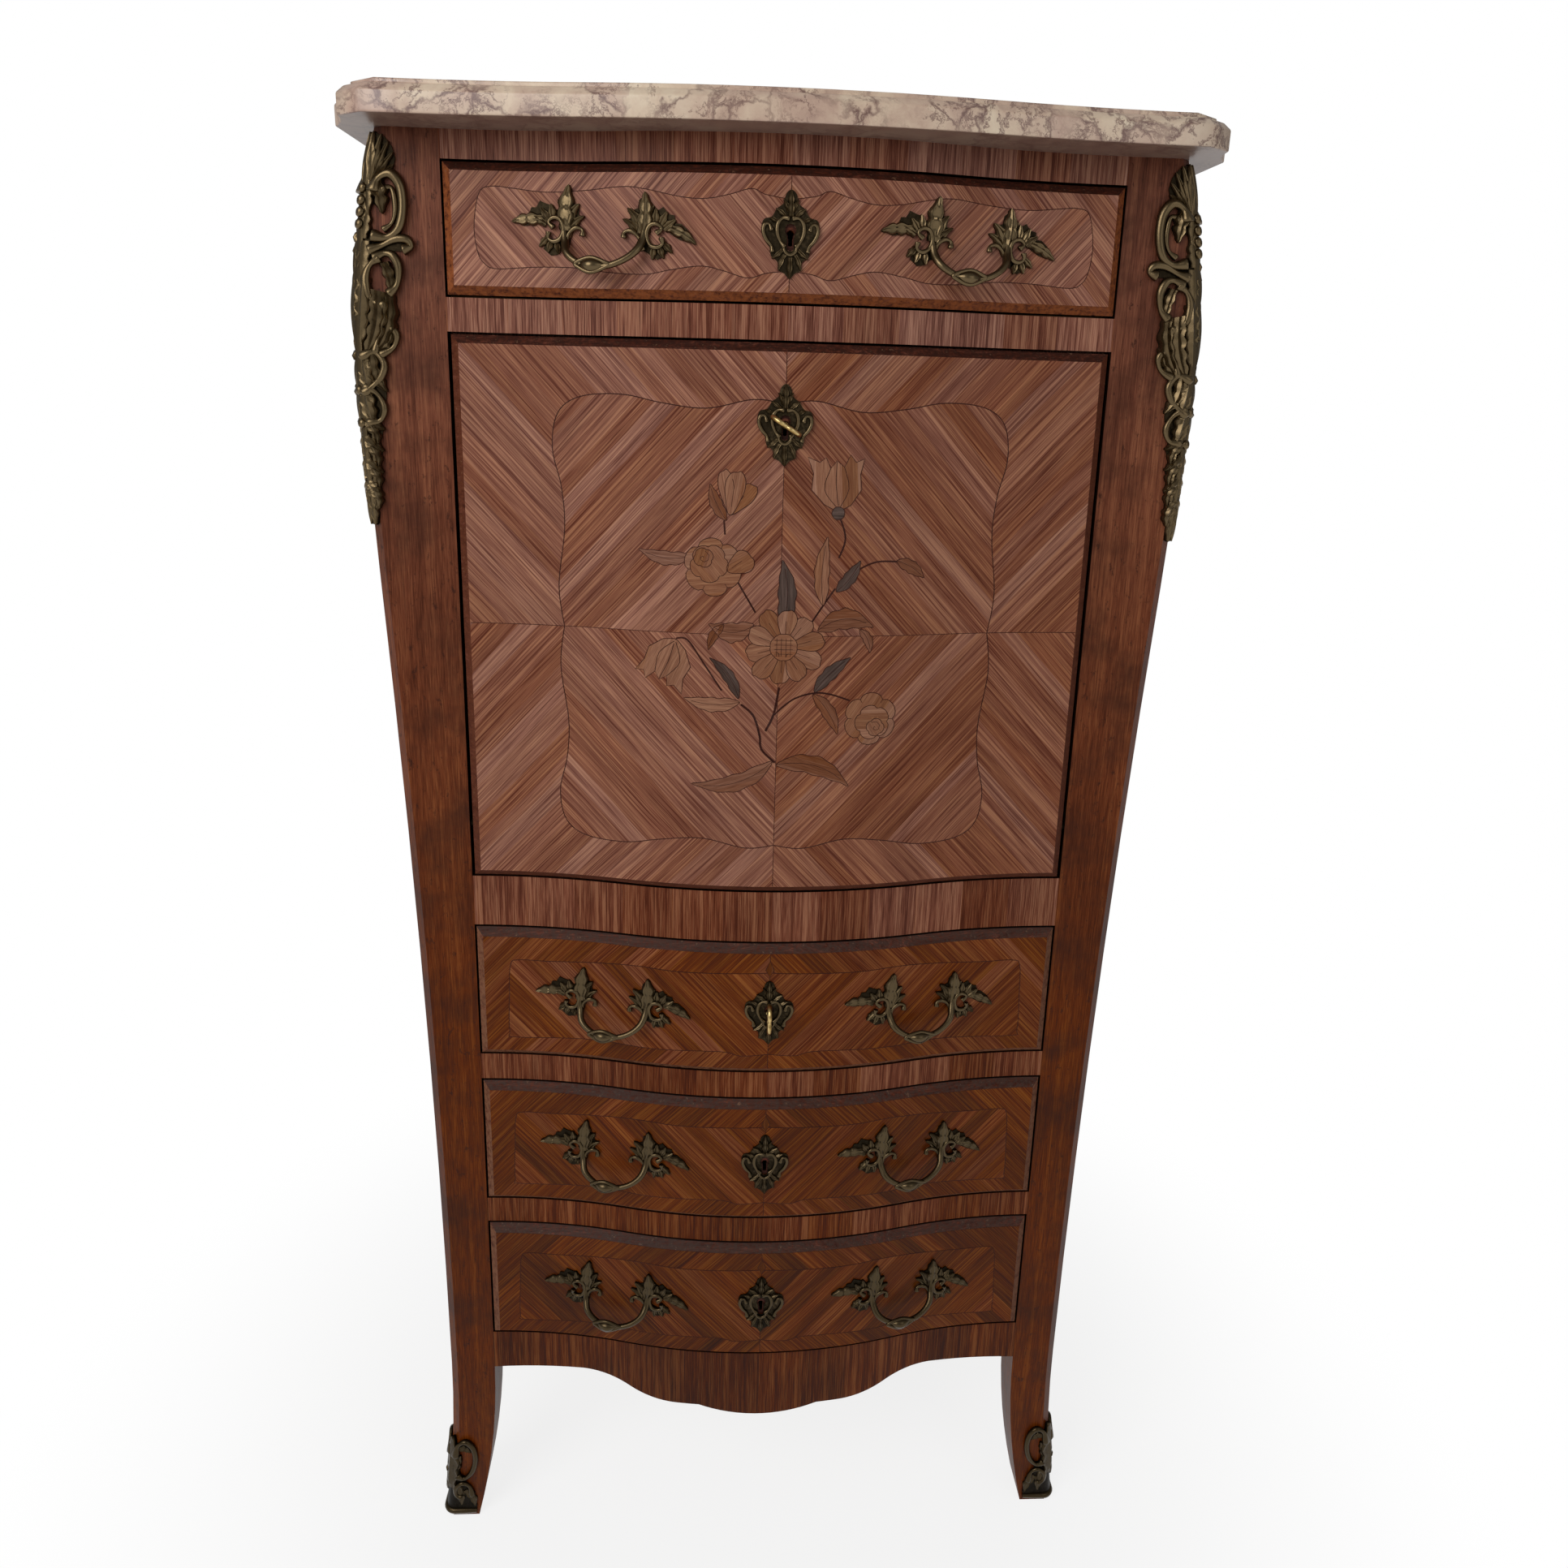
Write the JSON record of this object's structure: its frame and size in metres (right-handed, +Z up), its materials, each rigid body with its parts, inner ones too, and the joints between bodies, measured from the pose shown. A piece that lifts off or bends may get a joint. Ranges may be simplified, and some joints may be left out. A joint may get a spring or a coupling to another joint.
{
  "type": "fall-front writing cabinet",
  "caption": "Serpentine fall-front escritoire with a marble top, drawers above and below a hinged writing flap, pigeonholes inside, and bronze mounts on shaped legs.",
  "frame": {"origin": "on the floor below the middle of the marble top", "axes": "+Z up, the drawers open towards -Y, +X to the right as seen from the front"},
  "size_m": [0.745, 0.39, 1.436],
  "materials": {
    "tulipwood_veneer": "satin polish over quarter-matched veneer",
    "stained_beech": "worn stain and polish",
    "oak": "bare, planed",
    "marble": "honed, veined",
    "antique_bronze": "cast, dark patina with rubbed edges",
    "lock_steel": "filed",
    "brass": "polished by handling",
    "writing_leather": "gold-tooled border, aged"
  },
  "bodies": {
    "case": {"back_panel": "oak", "desk_floor": "oak", "dust_boards": "oak", "first_rail": "tulipwood_veneer", "front_apron": "tulipwood_veneer", "gallery_sides": "oak", "left_corner_mount": "antique_bronze", "left_front_post": "stained_beech", "left_rear_post": "stained_beech", "left_sabot": "antique_bronze", "left_side_panel": "tulipwood_veneer", "marble_top": "marble", "pigeonholes": "oak", "right_corner_mount": "antique_bronze", "right_front_post": "stained_beech", "right_rear_post": "stained_beech", "right_sabot": "antique_bronze", "right_side_panel": "tulipwood_veneer", "second_rail": "tulipwood_veneer", "side_aprons": "tulipwood_veneer", "top_board": "oak", "top_rail": "tulipwood_veneer", "upper_rail": "tulipwood_veneer", "writing_rail": "tulipwood_veneer"},
    "upper_drawer": {"upper_drawer_front": "tulipwood_veneer", "upper_drawer_box": "oak", "upper_drawer_bronzes": "antique_bronze", "upper_drawer_lock": "lock_steel"},
    "upper_drawer_bolt": {"upper_drawer_bolt": "lock_steel"},
    "first_drawer": {"first_drawer_front": "tulipwood_veneer", "first_drawer_box": "oak", "first_drawer_bronzes": "antique_bronze", "first_drawer_lock": "lock_steel"},
    "first_drawer_bolt": {"first_drawer_bolt": "lock_steel"},
    "second_drawer": {"second_drawer_front": "tulipwood_veneer", "second_drawer_box": "oak", "second_drawer_bronzes": "antique_bronze", "second_drawer_lock": "lock_steel"},
    "second_drawer_bolt": {"second_drawer_bolt": "lock_steel"},
    "third_drawer": {"third_drawer_front": "tulipwood_veneer", "third_drawer_box": "oak", "third_drawer_bronzes": "antique_bronze", "third_drawer_lock": "lock_steel"},
    "third_drawer_bolt": {"third_drawer_bolt": "lock_steel"},
    "flap": {"flap_panel": "tulipwood_veneer", "flap_leather": "writing_leather", "flap_pivots": "brass", "flap_escutcheon": "antique_bronze", "flap_lock": "lock_steel"},
    "flap_bolt": {"flap_bolt": "lock_steel"},
    "flap_key": {"flap_key": "brass"},
    "first_drawer_key": {"first_drawer_key": "brass"},
    "left_small_drawer": {"left_small_drawer": "oak"},
    "right_small_drawer": {"right_small_drawer": "oak"}
  },
  "joints": [
    {"name": "upper_drawer_slide", "type": "slide", "parent": "case", "child": "upper_drawer", "axis": [0, -1, 0], "range_m": [0, 0.2]},
    {"name": "upper_drawer_bolt_slide", "type": "slide", "parent": "upper_drawer", "child": "upper_drawer_bolt", "axis": [0, 0, 1], "range_m": [0, 0.008]},
    {"name": "first_drawer_slide", "type": "slide", "parent": "case", "child": "first_drawer", "axis": [0, -1, 0], "range_m": [0, 0.2]},
    {"name": "first_drawer_bolt_slide", "type": "slide", "parent": "first_drawer", "child": "first_drawer_bolt", "axis": [0, 0, 1], "range_m": [0, 0.008]},
    {"name": "second_drawer_slide", "type": "slide", "parent": "case", "child": "second_drawer", "axis": [0, -1, 0], "range_m": [0, 0.2]},
    {"name": "second_drawer_bolt_slide", "type": "slide", "parent": "second_drawer", "child": "second_drawer_bolt", "axis": [0, 0, 1], "range_m": [0, 0.008]},
    {"name": "third_drawer_slide", "type": "slide", "parent": "case", "child": "third_drawer", "axis": [0, -1, 0], "range_m": [0, 0.2]},
    {"name": "third_drawer_bolt_slide", "type": "slide", "parent": "third_drawer", "child": "third_drawer_bolt", "axis": [0, 0, 1], "range_m": [0, 0.008]},
    {"name": "flap_hinge", "type": "hinge", "parent": "case", "child": "flap", "pos_m": [0, -0.114, 0.82], "axis": [1, 0, 0], "range_deg": [0, 90]},
    {"name": "flap_bolt_slide", "type": "slide", "parent": "flap", "child": "flap_bolt", "axis": [0, 0, 1], "range_m": [0, 0.008]},
    {"name": "flap_key_turn", "type": "hinge", "parent": "flap", "child": "flap_key", "pos_m": [0, -0.165, 1.189], "axis": [0, -1, 0], "range_deg": [0, 360]},
    {"name": "first_drawer_key_turn", "type": "hinge", "parent": "first_drawer", "child": "first_drawer_key", "pos_m": [0, -0.165, 0.6485], "axis": [0, -1, 0], "range_deg": [0, 360]},
    {"name": "left_small_drawer_slide", "type": "slide", "parent": "case", "child": "left_small_drawer", "axis": [0, -1, 0], "range_m": [0, 0.08]},
    {"name": "right_small_drawer_slide", "type": "slide", "parent": "case", "child": "right_small_drawer", "axis": [0, -1, 0], "range_m": [0, 0.08]}
  ],
  "couplings": [
    {"joint": "flap_key_turn", "follows": "flap_bolt_slide", "rad_per_m": 785},
    {"joint": "first_drawer_key_turn", "follows": "first_drawer_bolt_slide", "rad_per_m": 785}
  ]
}
